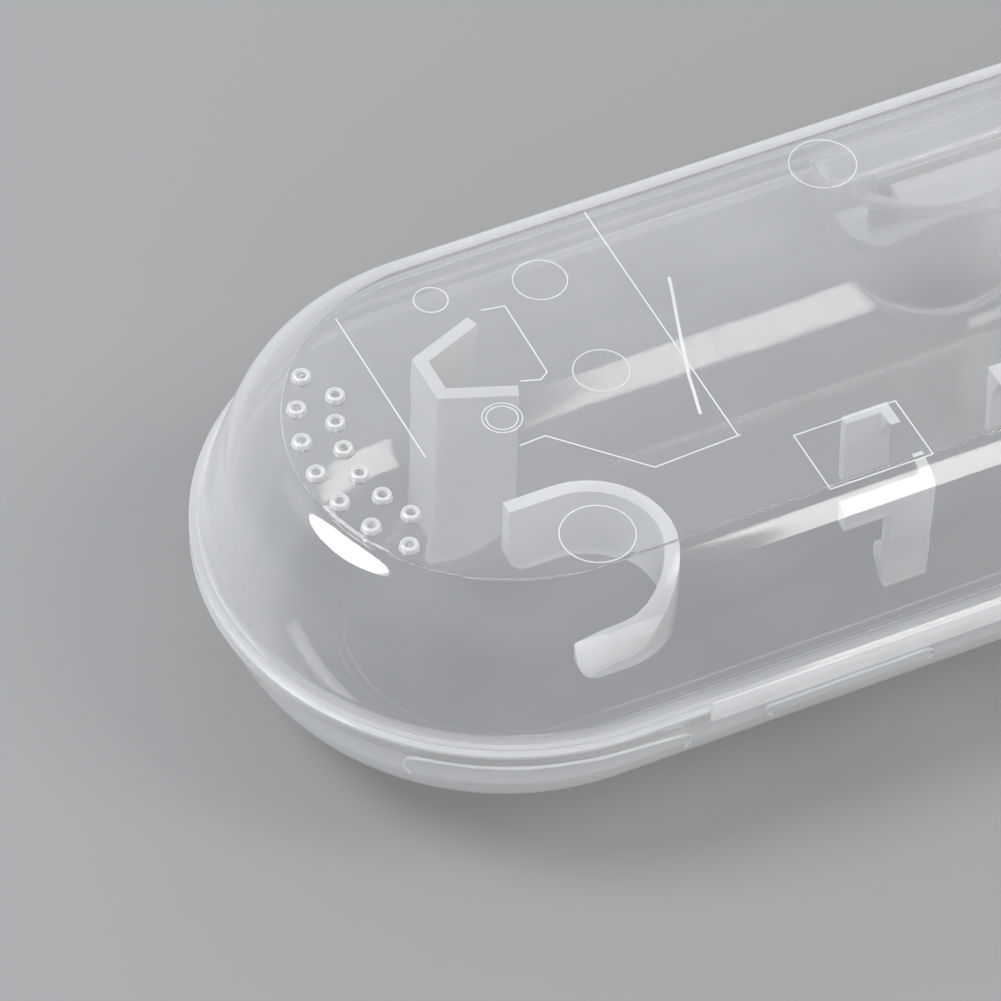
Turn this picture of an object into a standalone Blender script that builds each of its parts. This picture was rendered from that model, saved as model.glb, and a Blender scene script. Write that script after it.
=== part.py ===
"""Electric toothbrush case: a clear moulded case of two equal shells on a living hinge.

The case lies flat with its length along X and its height along Z, standing on Z 0.
The hinge runs along the -Y side and the latch sits at the middle of the +Y side.
The upper shell is the tray: its holders hang from the inside of its flat.
"""
from math import acos, cos, pi, radians, sin, sqrt, tan

import bmesh
import bpy

# Overall form
LENGTH = 0.230
WIDTH = 0.075
HALF_HEIGHT = 0.019
WALL = 0.0014
RIM_GAP = 0.00015
SEAT_GAP = 0.0003
END_STEPS = 16
ARC_STEPS = 7
CORNER_STEPS = 5
SHARP_ANGLE = radians(28)

# Flange round the rim of each shell
FLANGE_HEIGHT = 0.0015

# Upper shell: slanting wall, fillet, then a crisp step up to the flat
UPPER_FLANGE_OUT = 0.0003
UPPER_DRAFT = radians(17.4)
UPPER_FLAT_INSET = 0.0109
UPPER_CREASE = radians(20)
UPPER_STEP = 0.0003

# Lower shell: slanting wall and a large fillet down to a fine step round the foot
LOWER_FLANGE_OUT = 0.0005
LOWER_DRAFT = radians(18.2)
LOWER_FLAT_INSET = 0.0188
LOWER_CREASE = radians(5)
LOWER_STEP = 0.00012

# Vents, in two staggered arcs about the end centre: how many, how far in from the flat's edge
VENT_ARCS = ((7, 0.0019), (6, 0.00635))
VENT_PITCH = radians(12.35)
VENT_HOLE_RADIUS = 0.0007
COLLAR_BASE_RADIUS = 0.00125
COLLAR_TOP_RADIUS = 0.00105
COLLAR_HEIGHT = 0.0009
VENT_SIDES = 12

# Living hinge, folded shut along the -Y side
HINGE_LENGTH = 0.137
HINGE_THICKNESS = 0.0006
HINGE_END_TAPER = 0.0019
HINGE_AXIS_CLEARANCE = 0.0001

# Finger recess in the lower shell, at the middle of the +Y side, its centre just outside it
RECESS_RADIUS = 0.0166
RECESS_CENTRE_OUT = 0.0029
RECESS_DRAFT = radians(2)
RECESS_SIDES = 96

# Catch ledge across the recess, and the roof that carries the latch tongue
LEDGE_HALF_LENGTH = 0.0088
LEDGE_EDGE_INSET = 0.0078
LEDGE_THICKNESS = 0.0013
ROOF_HALF_LENGTH = 0.0175
ROOF_THICKNESS = 0.0015
ROOF_ABOVE_RIM = 0.0016
ROOF_CORNER_RADIUS = 0.002

# Latch tongue
TONGUE_HALF_LENGTH = 0.0105
TONGUE_THICKNESS = 0.0015
TONGUE_LENGTH = 0.0105
LIP_HALF_LENGTH = 0.0085
LIP_REACH = 0.0009
LIP_HEIGHT = 0.0006
LIP_RAMP = 0.0014
FOOT_THICKNESS = 0.0012
FOOT_HALF_LENGTH = 0.0129
FOOT_FRONT_INSET = 0.0095
FOOT_HOLLOW = 0.0011
FOOT_DEPTH = 0.0070
FOOT_CORNER_RADIUS = 0.0033
HOLLOW_STEPS = 8

# Holders hang from the upper flat, placed from the vented end and from the hinge side.
# Neck cup: a V-shaped wall
CUP_APEX_FROM_END = 0.0324
CUP_REACH = 0.0085
CUP_CENTRE_Y = 0.0098
CUP_APEX_HALF_WIDTH = 0.0030
CUP_TIP_HALF_WIDTH = 0.0063
CUP_WALL = 0.0017
CUP_APEX_DEPTH = 0.0262
CUP_TIP_DEPTH = 0.0207
CUP_CORNER_RADIUS = 0.002
CUP_SIDE_STEPS = 6

# Round hook: a C-shaped wall open towards the end of the case
HOOK_FROM_END = 0.0376
HOOK_FROM_SIDE = 0.0152
HOOK_RADIUS = 0.0095
HOOK_WALL = 0.0018
HOOK_ARM = 0.0063
HOOK_DEPTH = 0.0101
HOOK_CORNER_RADIUS = 0.003
HOOK_STEPS = 16

# Spring clips: a short plate and a long snap leg, the second pair mirrored
CLIP_PAIR_FROM_END = 0.0867
CLIP_WEB_REACH = 0.0068
CLIP_PLATE_LENGTH = 0.0062
CLIP_PLATE_FROM_SIDE = 0.02075
CLIP_PLATE_DEPTH = 0.0105
CLIP_PLATE_THICKNESS = 0.0013
CLIP_LEG_FROM_SIDE = 0.0095
CLIP_LEG_LENGTH = 0.0061
CLIP_LEG_DEPTH = 0.0168
CLIP_LEG_TAPER = 0.0005
CLIP_LEG_THICKNESS = 0.0016
CLIP_SHOULDER_LENGTH = 0.0062
CLIP_SHOULDER_DEPTH = 0.0045
CLIP_WEB_THICKNESS = 0.0014
CLIP_WEB_ROOT = 0.0037
CLIP_WEB_DEPTH = 0.0095
CLIP_CORNER_RADIUS = 0.001
CLIP_WEB_STEPS = 4
BARB_REACH = 0.0016
BARB_HEIGHT = 0.0045
BARB_FLAT = 0.0018

# How far cutters run past what they cut, and how far the holders may hang below the rim
CLEAR = 0.003
HOLDER_ROOM = 0.016

# Corners of the upper shell closer than this, where its cuts cross at the rim, are one corner
SAME_PLACE = 0.000002

# Worked out from the sizes above
HEIGHT = 2 * HALF_HEIGHT
END_X = (LENGTH - WIDTH) / 2
CEILING = HEIGHT - WALL
FLAT_HALF_WIDTH = WIDTH / 2 - UPPER_FLAT_INSET
HINGE_AXIS_Y = -WIDTH / 2 - HINGE_THICKNESS - HINGE_AXIS_CLEARANCE
ROOF_BASE_Z = HALF_HEIGHT + ROOF_ABOVE_RIM
RECESS_CENTRE_Y = WIDTH / 2 + RECESS_CENTRE_OUT
LEDGE_TOP_Z = HALF_HEIGHT - RIM_GAP / 2
LEDGE_EDGE_Y = WIDTH / 2 - LEDGE_EDGE_INSET
TONGUE_FRONT_Y = LEDGE_EDGE_Y + SEAT_GAP
TONGUE_BACK_Y = TONGUE_FRONT_Y + TONGUE_THICKNESS
TONGUE_TOP_Z = ROOF_BASE_Z - SEAT_GAP
TONGUE_FOOT_Z = TONGUE_TOP_Z - TONGUE_LENGTH
FOOT_FRONT_Y = WIDTH / 2 - FOOT_FRONT_INSET
CUP_APEX_X = -LENGTH / 2 + CUP_APEX_FROM_END
CUP_TIP_X = CUP_APEX_X + CUP_REACH
HOOK_CENTRE = (-LENGTH / 2 + HOOK_FROM_END, -WIDTH / 2 + HOOK_FROM_SIDE)
CLIP_PAIR_CENTRE_X = -LENGTH / 2 + CLIP_PAIR_FROM_END
CLIP_PLATE_Y = -WIDTH / 2 + CLIP_PLATE_FROM_SIDE
CLIP_LEG_Y = -WIDTH / 2 + CLIP_LEG_FROM_SIDE


def clear_scene():
    for thing in list(bpy.data.objects):
        bpy.data.objects.remove(thing)
    for mesh in list(bpy.data.meshes):
        bpy.data.meshes.remove(mesh)


def new_collection(name):
    collection = bpy.data.collections.new(name)
    bpy.context.scene.collection.children.link(collection)
    return collection


def new_material(name, colour, roughness, transmission):
    """A clear plastic on a Principled shader."""
    material = bpy.data.materials.new(name)
    material.use_nodes = True
    shader = material.node_tree.nodes["Principled BSDF"]
    shader.inputs["Base Color"].default_value = (*colour, 1)
    shader.inputs["Roughness"].default_value = roughness
    shader.inputs["Metallic"].default_value = 0
    shader.inputs["Transmission Weight"].default_value = transmission
    shader.inputs["IOR"].default_value = 1.49
    return material


def object_from(bm, name, collection):
    """Turns a bmesh into an object with its faces pointing out."""
    bmesh.ops.remove_doubles(bm, verts=bm.verts, dist=1e-7)
    bmesh.ops.recalc_face_normals(bm, faces=bm.faces)
    mesh = bpy.data.meshes.new(name)
    bm.to_mesh(mesh)
    bm.free()
    made = bpy.data.objects.new(name, mesh)
    collection.objects.link(made)
    return made


def finish_part(part, material):
    part.data.materials.append(material)
    part.data.shade_smooth()
    part.data.set_sharp_from_angle(angle=SHARP_ANGLE)


def as_cutter(cutter):
    cutter.hide_render = True
    cutter.display_type = "WIRE"
    return cutter


def boolean(target, other, operation):
    modifier = target.modifiers.new(operation.title() + " " + other.name, "BOOLEAN")
    modifier.operation = operation
    modifier.object = other
    modifier.solver = "EXACT"


def shell_profile(flat_inset, crease, step, draft, flange_out, thickness):
    """Points (inset, height above the parting plane) down one shell's wall from its flat.

    The fillet leaves the flat at the crease angle and runs tangent into the slanting
    wall. The thickness moves the whole line inwards: 0 gives the outer surface.
    """
    reach = flat_inset - flange_out - (HALF_HEIGHT - step - FLANGE_HEIGHT) * tan(draft)
    spread = cos(draft) + sin(draft) * tan(draft) - sin(crease) - cos(crease) * tan(draft)
    radius = reach / spread
    centre_inset = flat_inset + radius * sin(crease)
    centre_height = HALF_HEIGHT - step - radius * cos(crease)
    inner = radius - thickness
    flat_height = HALF_HEIGHT - thickness
    if thickness:
        start = acos(min(1, (flat_height - centre_height) / inner))
    else:
        start = crease
    points = []
    if step and not thickness:
        points.append((flat_inset + step / 2, flat_height))
    for i in range(ARC_STEPS + 1):
        angle = start + (pi / 2 - draft - start) * i / ARC_STEPS
        points.append((centre_inset - inner * sin(angle), centre_height + inner * cos(angle)))
    last_inset, last_height = points[-1]
    foot = FLANGE_HEIGHT if not thickness else RIM_GAP / 2
    points.append((last_inset - (last_height - foot) * tan(draft), foot))
    if not thickness:
        points += [(0, FLANGE_HEIGHT), (0, RIM_GAP / 2)]
    return points


def upper_profile(thickness):
    return shell_profile(
        UPPER_FLAT_INSET, UPPER_CREASE, UPPER_STEP, UPPER_DRAFT, UPPER_FLANGE_OUT, thickness
    )


def lower_profile(thickness):
    return shell_profile(
        LOWER_FLAT_INSET, LOWER_CREASE, LOWER_STEP, LOWER_DRAFT, LOWER_FLANGE_OUT, thickness
    )


def stadium(name, profile, side, mouth, collection):
    """A solid with straight sides and half-round ends, closed at its flat and its mouth.

    side is 1 for the upper shell and -1 for the lower. mouth is how far the solid
    reaches past the parting plane.
    """
    section = [(WIDTH / 2 - inset, HALF_HEIGHT + side * height) for inset, height in profile]
    if mouth:
        section.append((section[-1][0], HALF_HEIGHT - side * mouth))
    section = [(0, section[0][1]), *section, (0, section[-1][1])]
    bm = bmesh.new()
    row = [bm.verts.new((0, across, z)) for across, z in section]
    edges = [bm.edges.new(pair) for pair in zip(row, row[1:])]
    run = bmesh.ops.extrude_edge_only(bm, edges=edges)["geom"]
    verts = [item for item in run if isinstance(item, bmesh.types.BMVert)]
    edges = [item for item in run if isinstance(item, bmesh.types.BMEdge)]
    bmesh.ops.translate(bm, verts=verts, vec=(END_X, 0, 0))
    bmesh.ops.spin(
        bm, geom=verts + edges, cent=(END_X, 0, 0), axis=(0, 0, 1), angle=-pi / 2, steps=END_STEPS
    )
    for axis in "XY":
        whole = bm.verts[:] + bm.edges[:] + bm.faces[:]
        bmesh.ops.mirror(bm, geom=whole, axis=axis, merge_dist=1e-7)
    return object_from(bm, name, collection)


def prism(name, outline, plane, low, high, collection):
    """An outline drawn in the plane XY, XZ or YZ, extruded from low to high across it."""
    order = {"XY": (0, 1, 2), "XZ": (0, 2, 1), "YZ": (1, 2, 0)}[plane]
    bm = bmesh.new()
    corners = []
    for first, second in outline:
        place = [0, 0, 0]
        place[order[0]], place[order[1]], place[order[2]] = first, second, low
        corners.append(bm.verts.new(place))
    face = bm.faces.new(corners)
    run = bmesh.ops.extrude_face_region(bm, geom=[face])["geom"]
    shift = [0, 0, 0]
    shift[order[2]] = high - low
    moved = [item for item in run if isinstance(item, bmesh.types.BMVert)]
    bmesh.ops.translate(bm, verts=moved, vec=shift)
    return object_from(bm, name, collection)


def arc(centre, radius, start, end, steps):
    """Points along an arc, from one angle to another in radians."""
    turns = [start + (end - start) * i / steps for i in range(steps + 1)]
    return [(centre[0] + radius * cos(t), centre[1] + radius * sin(t)) for t in turns]


def cone(name, low_radius, high_radius, low_z, high_z, place, sides, collection):
    bpy.ops.mesh.primitive_cone_add(
        vertices=sides,
        radius1=low_radius,
        radius2=high_radius,
        depth=high_z - low_z,
        location=(place[0], place[1], (low_z + high_z) / 2),
    )
    made = bpy.context.object
    made.name = name
    made.data.name = name
    for other in made.users_collection:
        other.objects.unlink(made)
    collection.objects.link(made)
    return made


def join(name, pieces):
    """Makes one object of separate meshes that don't touch."""
    bm = bmesh.new()
    for piece in pieces:
        start = len(bm.verts)
        bm.from_mesh(piece.data)
        bm.verts.ensure_lookup_table()
        bmesh.ops.transform(bm, matrix=piece.matrix_basis, verts=bm.verts[start:])
    collection = pieces[0].users_collection[0]
    for piece in pieces:
        bpy.data.objects.remove(piece)
    return object_from(bm, name, collection)


def recess_cone(name, radius, collection):
    """The recess narrows upwards with its draft, and passes both faces of the lower shell."""
    low, high = -CLEAR, HALF_HEIGHT + CLEAR
    return as_cutter(
        cone(
            name,
            radius - low * tan(RECESS_DRAFT),
            radius - high * tan(RECESS_DRAFT),
            low,
            high,
            (0, RECESS_CENTRE_Y),
            RECESS_SIDES,
            collection,
        )
    )


def build_lower_shell(parts, cutters, material):
    shell = stadium("lower_shell", lower_profile(0), -1, 0, parts)
    cavity = as_cutter(stadium("lower_cavity", lower_profile(WALL), -1, CLEAR, cutters))
    boolean(shell, recess_cone("recess", RECESS_RADIUS, cutters), "DIFFERENCE")
    boolean(cavity, recess_cone("recess_wall", RECESS_RADIUS + WALL, cutters), "DIFFERENCE")
    ledge_back = RECESS_CENTRE_Y - RECESS_RADIUS - WALL / 2
    ledge_outline = [
        (-LEDGE_HALF_LENGTH, ledge_back),
        (LEDGE_HALF_LENGTH, ledge_back),
        (LEDGE_HALF_LENGTH, LEDGE_EDGE_Y),
        (-LEDGE_HALF_LENGTH, LEDGE_EDGE_Y),
    ]
    ledge_low = LEDGE_TOP_Z - LEDGE_THICKNESS
    ledge = prism("catch_ledge", ledge_outline, "XY", ledge_low, LEDGE_TOP_Z, cutters)
    boolean(shell, as_cutter(ledge), "UNION")
    boolean(shell, cavity, "DIFFERENCE")
    finish_part(shell, material)
    return shell


def vent_places():
    """The centres of the vents, spread about the far end's middle line."""
    for count, inset in VENT_ARCS:
        radius = FLAT_HALF_WIDTH - inset
        for i in range(count):
            angle = pi + (i - (count - 1) / 2) * VENT_PITCH
            yield (-END_X + radius * cos(angle), radius * sin(angle))


def build_vents(cutters):
    """All collars as one cutter, and all holes as another."""
    wide, narrow, bore = COLLAR_BASE_RADIUS, COLLAR_TOP_RADIUS, VENT_HOLE_RADIUS
    base, top = HEIGHT - WALL / 2, HEIGHT + COLLAR_HEIGHT
    low, high = CEILING - CLEAR, top + CLEAR
    collars, holes = [], []
    for i, place in enumerate(vent_places()):
        collars.append(cone(f"collar_{i}", wide, narrow, base, top, place, VENT_SIDES, cutters))
        holes.append(cone(f"hole_{i}", bore, bore, low, high, place, VENT_SIDES, cutters))
    return as_cutter(join("vent_collars", collars)), as_cutter(join("vent_holes", holes))


def roof_outline():
    """The shelf over the recess, with rounded front corners, reaching into the far wall."""
    slope = (ROOF_ABOVE_RIM + ROOF_THICKNESS) * tan(UPPER_DRAFT)
    back = WIDTH / 2 - UPPER_FLANGE_OUT - slope - WALL / 3
    corner = ROOF_CORNER_RADIUS
    front = TONGUE_FRONT_Y + corner
    side = ROOF_HALF_LENGTH - corner
    outline = [(ROOF_HALF_LENGTH, back), (-ROOF_HALF_LENGTH, back)]
    outline += arc((-side, front), corner, pi, 1.5 * pi, CORNER_STEPS)
    outline += arc((side, front), corner, 1.5 * pi, 2 * pi, CORNER_STEPS)
    return outline


def build_upper_shell(parts, cutters, material):
    shell = stadium("upper_shell", upper_profile(0), 1, 0, parts)
    cavity = as_cutter(stadium("upper_cavity", upper_profile(WALL), 1, CLEAR, cutters))
    boolean(shell, cavity, "DIFFERENCE")
    roof_top = ROOF_BASE_Z + ROOF_THICKNESS
    roof = prism("latch_roof", roof_outline(), "XY", ROOF_BASE_Z, roof_top, cutters)
    boolean(shell, as_cutter(roof), "UNION")
    collars, holes = build_vents(cutters)
    boolean(shell, collars, "UNION")
    boolean(shell, holes, "DIFFERENCE")
    weld = shell.modifiers.new("Weld", "WELD")
    weld.merge_threshold = SAME_PLACE
    finish_part(shell, material)
    return shell


def leaf_outline(near, far):
    """One leaf of the hinge in XZ, from the fold line to its tapered outer edge."""
    half = HINGE_LENGTH / 2
    return [
        (-half - HINGE_END_TAPER, near),
        (half + HINGE_END_TAPER, near),
        (half, far),
        (-half, far),
    ]


def build_hinge(parts, material):
    outer = -WIDTH / 2 - HINGE_THICKNESS
    leaves = []
    for name, side in (("hinge_leaf_lower", -1), ("hinge_leaf_upper", 1)):
        near = HALF_HEIGHT + side * SEAT_GAP / 2
        far = HALF_HEIGHT + side * FLANGE_HEIGHT
        leaf = prism(name, leaf_outline(near, far), "XZ", outer, -WIDTH / 2, parts)
        finish_part(leaf, material)
        leaves.append(leaf)
    return leaves


def foot_outline():
    """The finger pull at the foot of the tongue: round corners and a hollow front."""
    radius = FOOT_CORNER_RADIUS
    side = FOOT_HALF_LENGTH - radius
    hollow_radius = (side**2 + FOOT_HOLLOW**2) / (2 * FOOT_HOLLOW)
    spread = acos(1 - FOOT_HOLLOW / hollow_radius)
    hollow_centre = (0, FOOT_FRONT_Y + FOOT_HOLLOW - hollow_radius)
    back = FOOT_FRONT_Y + FOOT_DEPTH
    outline = [(FOOT_HALF_LENGTH, back), (-FOOT_HALF_LENGTH, back)]
    outline += arc((-side, FOOT_FRONT_Y + radius), radius, pi, 1.5 * pi, CORNER_STEPS)
    hollow = arc(hollow_centre, hollow_radius, pi / 2 + spread, pi / 2 - spread, HOLLOW_STEPS)
    outline += hollow[1:-1]
    outline += arc((side, FOOT_FRONT_Y + radius), radius, 1.5 * pi, 2 * pi, CORNER_STEPS)
    return outline


def build_latch_tongue(parts, cutters, material):
    """The tongue swings on its root line, so its origin lies there."""
    plate_outline = [
        (-TONGUE_HALF_LENGTH, TONGUE_FOOT_Z),
        (TONGUE_HALF_LENGTH, TONGUE_FOOT_Z),
        (TONGUE_HALF_LENGTH, TONGUE_TOP_Z),
        (-TONGUE_HALF_LENGTH, TONGUE_TOP_Z),
    ]
    tongue = prism("latch_tongue", plate_outline, "XZ", TONGUE_FRONT_Y, TONGUE_BACK_Y, parts)
    lip_top = LEDGE_TOP_Z - LEDGE_THICKNESS - SEAT_GAP
    lip_low = lip_top - LIP_HEIGHT
    root = TONGUE_FRONT_Y + TONGUE_THICKNESS / 3
    tip = TONGUE_FRONT_Y - LIP_REACH
    lip_outline = [(root, lip_top), (tip, lip_top), (tip, lip_low), (root, lip_low - LIP_RAMP)]
    lip = prism("latch_lip", lip_outline, "YZ", -LIP_HALF_LENGTH, LIP_HALF_LENGTH, cutters)
    boolean(tongue, as_cutter(lip), "UNION")
    foot_top = TONGUE_FOOT_Z + FOOT_THICKNESS
    foot = prism("latch_foot", foot_outline(), "XY", TONGUE_FOOT_Z - SEAT_GAP, foot_top, cutters)
    foot_space = recess_cone("foot_space", RECESS_RADIUS - SEAT_GAP, cutters)
    boolean(as_cutter(foot), foot_space, "INTERSECT")
    boolean(tongue, foot, "UNION")
    finish_part(tongue, material)
    return tongue


def hanging_wall(name, path, thickness, low_z, corner, collection):
    """A wall of even thickness along a path, its foot following low_z(share of the path).

    Its two lower corners are rounded. Its top reaches past the ceiling, where the
    holder space trims it.
    """
    lengths = [0]
    for a, b in zip(path, path[1:]):
        lengths.append(lengths[-1] + sqrt((b[0] - a[0]) ** 2 + (b[1] - a[1]) ** 2))
    total = lengths[-1]
    turns = [pi / 2 * i / CORNER_STEPS for i in range(CORNER_STEPS + 1)]
    stops = [corner * (1 - cos(turn)) for turn in turns]
    stops = set(stops) | {total - stop for stop in stops} | set(lengths[1:-1])
    bm = bmesh.new()
    low_row, high_row = [], []
    for stop in sorted(stops):
        i = max(k for k in range(len(path) - 1) if lengths[k] <= stop + 1e-9)
        share = (stop - lengths[i]) / (lengths[i + 1] - lengths[i])
        x = path[i][0] + (path[i + 1][0] - path[i][0]) * share
        y = path[i][1] + (path[i + 1][1] - path[i][1]) * share
        near_end = min(stop, total - stop, corner)
        lift = corner - sqrt(max(0, corner**2 - (corner - near_end) ** 2))
        low_row.append(bm.verts.new((x, y, low_z(stop / total) + lift)))
        high_row.append(bm.verts.new((x, y, HEIGHT + CLEAR)))
    for i in range(len(low_row) - 1):
        bm.faces.new((low_row[i], low_row[i + 1], high_row[i + 1], high_row[i]))
    wall = object_from(bm, name, collection)
    solidify = wall.modifiers.new("Wall", "SOLIDIFY")
    solidify.thickness = thickness
    solidify.offset = 0
    solidify.use_even_offset = True
    return wall


def build_neck_cup(parts, space, material):
    """A V with a flat fold, deepest at the fold and rising in a curve to its tips."""
    path = [
        (CUP_TIP_X, CUP_CENTRE_Y + CUP_TIP_HALF_WIDTH),
        (CUP_APEX_X, CUP_CENTRE_Y + CUP_APEX_HALF_WIDTH),
        (CUP_APEX_X, CUP_CENTRE_Y - CUP_APEX_HALF_WIDTH),
        (CUP_TIP_X, CUP_CENTRE_Y - CUP_TIP_HALF_WIDTH),
    ]
    arm = sqrt((CUP_TIP_X - CUP_APEX_X) ** 2 + (CUP_TIP_HALF_WIDTH - CUP_APEX_HALF_WIDTH) ** 2)
    fold = 2 * CUP_APEX_HALF_WIDTH
    total = 2 * arm + fold

    def foot(share):
        from_fold = max(0, abs(share - 0.5) * total - fold / 2) / arm
        return CEILING - CUP_APEX_DEPTH + (CUP_APEX_DEPTH - CUP_TIP_DEPTH) * from_fold**2

    smooth = [path[0]]
    for a, b in zip(path, path[1:]):
        for i in range(1, CUP_SIDE_STEPS + 1):
            share = i / CUP_SIDE_STEPS
            smooth.append((a[0] + (b[0] - a[0]) * share, a[1] + (b[1] - a[1]) * share))
    cup = hanging_wall("neck_cup", smooth, CUP_WALL, foot, CUP_CORNER_RADIUS, parts)
    boolean(cup, space, "INTERSECT")
    finish_part(cup, material)
    return cup


def build_round_hook(parts, space, material):
    """A half ring with two straight arms towards the end of the case."""
    x, y = HOOK_CENTRE
    path = [(x - HOOK_ARM, y + HOOK_RADIUS)]
    path += arc(HOOK_CENTRE, HOOK_RADIUS, pi / 2, -pi / 2, HOOK_STEPS)
    path.append((x - HOOK_ARM, y - HOOK_RADIUS))
    hook = hanging_wall(
        "round_hook", path, HOOK_WALL, lambda share: CEILING - HOOK_DEPTH, HOOK_CORNER_RADIUS, parts
    )
    boolean(hook, space, "INTERSECT")
    finish_part(hook, material)
    return hook


def web_outline(root_y, towards):
    """A gusset in YZ with a hollow free edge, from a clip wall out along the ceiling."""
    top = HEIGHT + CLEAR
    start = CEILING - CLIP_WEB_DEPTH
    outline = [(root_y, start), (root_y, top), (root_y + towards * CLIP_WEB_ROOT, top)]
    for i in range(CLIP_WEB_STEPS):
        turn = pi / 2 * i / CLIP_WEB_STEPS
        reach = CLIP_WEB_ROOT * (1 - sin(turn))
        outline.append((root_y + towards * reach, CEILING - CLIP_WEB_DEPTH * (1 - cos(turn))))
    return outline


def build_clip(name, side, parts, cutters, space, material):
    """One clip: side is -1 for the left of the pair and 1 for its mirror image."""
    web_x = CLIP_PAIR_CENTRE_X + side * CLIP_WEB_REACH
    plate_end = web_x + side * CLIP_PLATE_LENGTH
    top = HEIGHT + CLEAR
    low = CEILING - CLIP_PLATE_DEPTH
    r = CLIP_CORNER_RADIUS
    plate_outline = [
        (web_x, top),
        (web_x, low),
        (plate_end - side * r, low),
        (plate_end, low + r),
        (plate_end, top),
    ]
    front, back = CLIP_PLATE_Y - CLIP_PLATE_THICKNESS / 2, CLIP_PLATE_Y + CLIP_PLATE_THICKNESS / 2
    plate = prism(f"{name}_plate", plate_outline, "XZ", front, back, parts)
    webs = sorted((web_x, web_x + side * CLIP_WEB_THICKNESS))
    far_web = prism(f"{name}_far_web", web_outline(CLIP_PLATE_Y, -1), "YZ", *webs, cutters)
    boolean(plate, as_cutter(far_web), "UNION")
    boolean(plate, space, "INTERSECT")
    finish_part(plate, material)

    leg_end = web_x + side * CLIP_LEG_LENGTH
    shoulder_end = leg_end + side * CLIP_SHOULDER_LENGTH
    foot = CEILING - CLIP_LEG_DEPTH
    shoulder = CEILING - CLIP_SHOULDER_DEPTH
    leg_outline = [
        (web_x, top),
        (web_x + side * CLIP_LEG_TAPER, foot),
        (leg_end, foot),
        (leg_end, shoulder),
        (shoulder_end, shoulder),
        (shoulder_end, top),
    ]
    outer, inner = CLIP_LEG_Y - CLIP_LEG_THICKNESS / 2, CLIP_LEG_Y + CLIP_LEG_THICKNESS / 2
    leg = prism(f"{name}_leg", leg_outline, "XZ", outer, inner, parts)
    barb_outline = [
        (CLIP_LEG_Y, foot + BARB_HEIGHT + BARB_REACH),
        (inner, foot + BARB_HEIGHT + BARB_REACH),
        (inner + BARB_REACH, foot + BARB_HEIGHT),
        (inner + BARB_REACH, foot + BARB_HEIGHT - BARB_FLAT),
        (inner, foot),
        (CLIP_LEG_Y, foot),
    ]
    barb_span = sorted((web_x + side * CLIP_LEG_TAPER, leg_end))
    barb = prism(f"{name}_barb", barb_outline, "YZ", *barb_span, cutters)
    boolean(leg, as_cutter(barb), "UNION")
    near_web = prism(f"{name}_near_web", web_outline(CLIP_LEG_Y, 1), "YZ", *webs, cutters)
    boolean(leg, as_cutter(near_web), "UNION")
    boolean(leg, space, "INTERSECT")
    finish_part(leg, material)
    return [plate, leg]


def carry(parts, axis_y, axis_z, name):
    """Hangs moving parts from an empty on their joint's axis."""
    axis = bpy.data.objects.new(name, None)
    bpy.context.scene.collection.objects.link(axis)
    axis.location = (0, axis_y, axis_z)
    bpy.context.view_layer.update()
    for part in parts:
        part.parent = axis
        part.matrix_parent_inverse = axis.matrix_world.inverted()
    return axis


def main():
    clear_scene()
    parts = new_collection("electric_toothbrush_case")
    cutters = new_collection("cutters")
    clear = new_material("clear_shell", (0.86, 0.88, 0.89), 0.12, 0.9)
    milky = new_material("milky_holder", (0.80, 0.82, 0.83), 0.3, 0.5)
    thin = new_material("hinge_film", (0.90, 0.91, 0.92), 0.25, 0.6)

    space = as_cutter(
        stadium("holder_space", upper_profile(WALL + SEAT_GAP), 1, HOLDER_ROOM, cutters)
    )
    build_lower_shell(parts, cutters, clear)
    lid = [build_upper_shell(parts, cutters, clear)]
    leaf_lower, leaf_upper = build_hinge(parts, thin)
    lid.append(leaf_upper)
    lid.append(build_neck_cup(parts, space, milky))
    lid.append(build_round_hook(parts, space, milky))
    lid += build_clip("clip_left", -1, parts, cutters, space, milky)
    lid += build_clip("clip_right", 1, parts, cutters, space, milky)
    tongue = build_latch_tongue(parts, cutters, milky)

    lid_axis = carry(lid, HINGE_AXIS_Y, HALF_HEIGHT, "lid_hinge_axis")
    latch_axis = carry([tongue], TONGUE_FRONT_Y + TONGUE_THICKNESS / 2, TONGUE_TOP_Z, "latch_axis")
    latch_axis.parent = lid_axis
    latch_axis.matrix_parent_inverse = lid_axis.matrix_world.inverted()


main()
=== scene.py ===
# %% [markdown]
# A clear travel case for an electric toothbrush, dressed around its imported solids. The solids
# say where every piece is and how it moves. This lesson gives each piece the fine shape and
# the milky, glossy polypropylene of the real case, one small step at a time.

# %% Load the frame
from math import acos, cos, pi, radians, sin, sqrt, tan

import bpy
from mathutils import Matrix, Vector


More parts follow.
